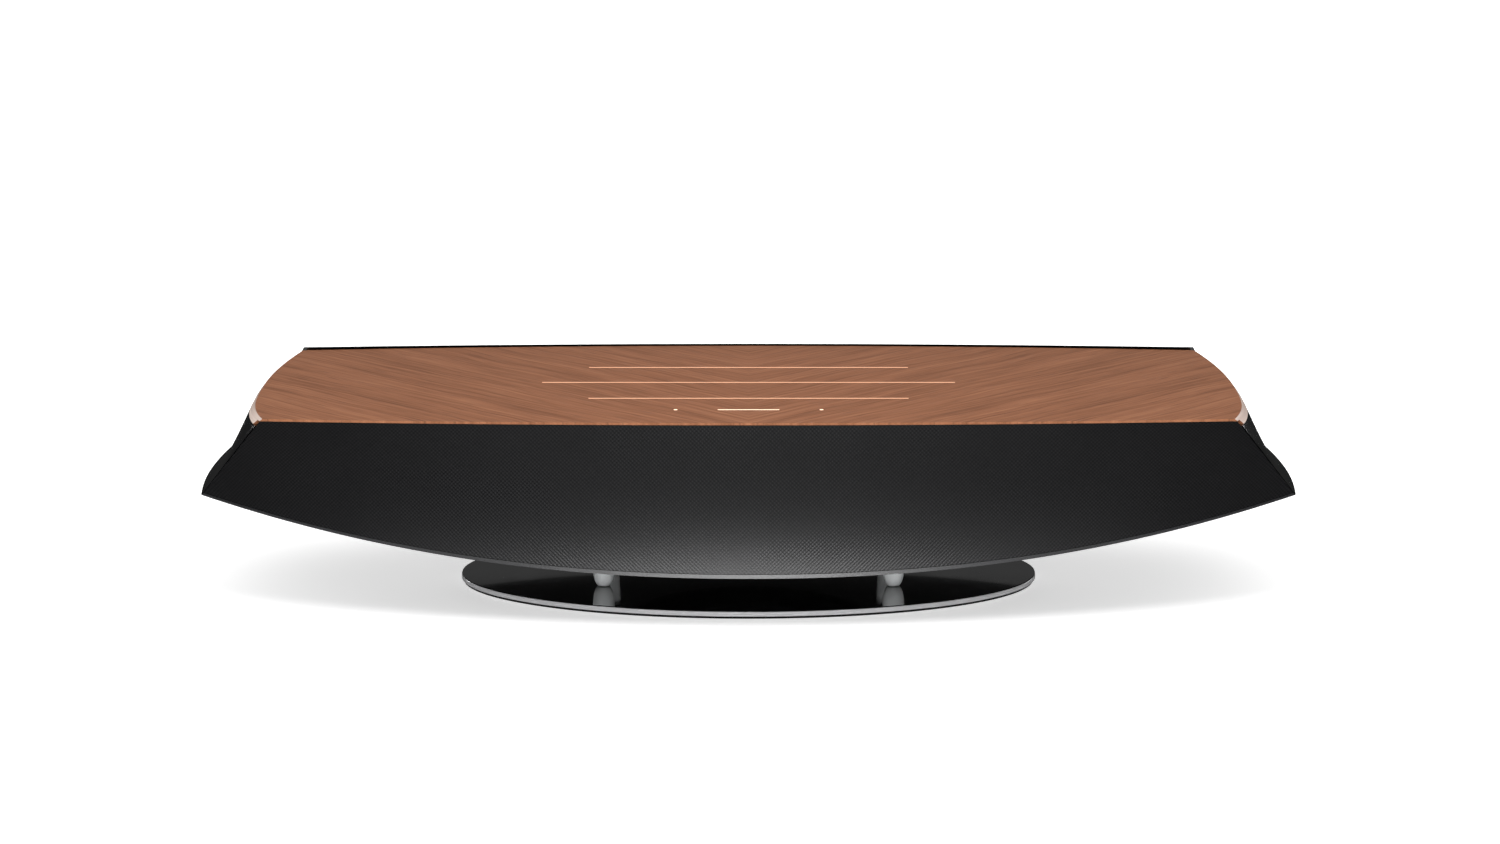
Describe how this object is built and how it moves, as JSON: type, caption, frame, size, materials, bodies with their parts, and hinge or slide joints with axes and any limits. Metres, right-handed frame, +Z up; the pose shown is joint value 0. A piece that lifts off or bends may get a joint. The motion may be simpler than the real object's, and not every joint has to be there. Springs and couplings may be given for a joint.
{
  "type": "soundbar",
  "caption": "One-piece wireless soundbar: flared body with a wood top and cloth front, floating on columns over a thin oval base.",
  "frame": {"origin": "centre of the oval base's underside, on the surface it stands on", "axes": "+X towards the right end seen from the front, -Y towards the front cloth, +Z up"},
  "size_m": [0.655, 0.2798, 0.13],
  "materials": {
    "wood_veneer": "satin, fine grain in a shallow V",
    "inlay": "satin",
    "light_guide": "frosted, lit",
    "gloss_black": "polished",
    "satin_black": "fine satin",
    "inner_plastic": "moulded",
    "grille_fabric": "acoustic knit",
    "trim": "satin",
    "polished_rim": "polished",
    "column_paint": "satin",
    "soft_rubber": "matt",
    "screw_steel": "zinc plated",
    "basket_paint": "satin",
    "magnet": "matt ferrite and zinc plated steel",
    "cone_paper": "pressed paper",
    "silk": "coated silk",
    "spider_cloth": "impregnated cloth",
    "coil_copper": "enamelled winding",
    "circuit_board": "solder mask",
    "heat_sink": "extruded",
    "socket_metal": "plated",
    "button_cap": "satin"
  },
  "bodies": {
    "housing": {"wood_top": "wood_veneer", "inlay_strips": "inlay", "light_bar": "light_guide", "touch_dot_lights": "light_guide", "touch_board": "circuit_board", "top_chassis": "inner_plastic", "grille_cloth": "grille_fabric", "grille_frame": "inner_plastic", "grille_trim": "trim", "front_baffle": "inner_plastic", "end_cap_left": "gloss_black", "end_cap_right": "gloss_black", "side_grille_left": "satin_black", "side_grille_right": "satin_black", "rear_shell": "gloss_black", "lower_shell": "satin_black", "woofer_basket": "basket_paint", "woofer_motor": "magnet", "woofer_gasket": "soft_rubber", "woofer_surround": "soft_rubber", "woofer_spider": "spider_cloth", "mid_basket_left": "basket_paint", "mid_motor_left": "magnet", "mid_surround_left": "soft_rubber", "mid_basket_right": "basket_paint", "mid_motor_right": "magnet", "mid_surround_right": "soft_rubber", "tweeter_body_left": "basket_paint", "tweeter_body_right": "basket_paint", "side_basket_left": "basket_paint", "side_surround_left": "soft_rubber", "side_basket_right": "basket_paint", "side_surround_right": "soft_rubber", "amplifier_board": "circuit_board", "heat_sink": "heat_sink", "power_board": "circuit_board", "main_board": "circuit_board", "connector_bay": "satin_black", "mains_inlet": "satin_black", "hdmi_socket": "socket_metal", "ethernet_socket": "socket_metal", "line_in_jack": "satin_black", "base_plate": "gloss_black", "base_rim": "polished_rim", "foot_ring": "soft_rubber", "base_columns": "column_paint", "base_screws": "screw_steel", "case_screws": "screw_steel", "driver_screws": "screw_steel"},
    "woofer_piston": {"woofer_cone": "cone_paper", "woofer_voice_coil": "coil_copper"},
    "mid_piston_left": {"mid_cone_left": "cone_paper"},
    "mid_piston_right": {"mid_cone_right": "cone_paper"},
    "tweeter_piston_left": {"tweeter_dome_left": "silk"},
    "tweeter_piston_right": {"tweeter_dome_right": "silk"},
    "side_piston_left": {"side_cone_left": "cone_paper"},
    "side_piston_right": {"side_cone_right": "cone_paper"},
    "standby_cap": {"standby_button": "button_cap"},
    "pairing_cap": {"pairing_button": "button_cap"}
  },
  "joints": [
    {"name": "woofer_travel", "type": "slide", "parent": "housing", "child": "woofer_piston", "axis": [0, 0, -1], "range_m": [-0.008, 0.008], "stiffness_N_per_m": 1500, "deforming": ["woofer_surround", "woofer_spider"]},
    {"name": "mid_travel_left", "type": "slide", "parent": "housing", "child": "mid_piston_left", "axis": [0, -0.9444, 0.3289], "range_m": [-0.0025, 0.0025], "stiffness_N_per_m": 800, "deforming": ["mid_surround_left"]},
    {"name": "mid_travel_right", "type": "slide", "parent": "housing", "child": "mid_piston_right", "axis": [0, -0.9444, 0.3289], "range_m": [-0.0025, 0.0025], "stiffness_N_per_m": 800, "deforming": ["mid_surround_right"]},
    {"name": "tweeter_travel_left", "type": "slide", "parent": "housing", "child": "tweeter_piston_left", "axis": [0, -0.9444, 0.3289], "range_m": [-0.0003, 0.0003], "stiffness_N_per_m": 60},
    {"name": "tweeter_travel_right", "type": "slide", "parent": "housing", "child": "tweeter_piston_right", "axis": [0, -0.9444, 0.3289], "range_m": [-0.0003, 0.0003], "stiffness_N_per_m": 60},
    {"name": "side_travel_left", "type": "slide", "parent": "housing", "child": "side_piston_left", "axis": [-0.8885, 0.0668, 0.454], "range_m": [-0.0012, 0.0012], "stiffness_N_per_m": 400, "deforming": ["side_surround_left"]},
    {"name": "side_travel_right", "type": "slide", "parent": "housing", "child": "side_piston_right", "axis": [0.8885, 0.0668, 0.454], "range_m": [-0.0012, 0.0012], "stiffness_N_per_m": 400, "deforming": ["side_surround_right"]},
    {"name": "standby_press", "type": "slide", "parent": "housing", "child": "standby_cap", "axis": [0, -1, 0], "range_m": [0, 0.0008], "stiffness_N_per_m": 600},
    {"name": "pairing_press", "type": "slide", "parent": "housing", "child": "pairing_cap", "axis": [0, -1, 0], "range_m": [0, 0.0008], "stiffness_N_per_m": 600}
  ]
}
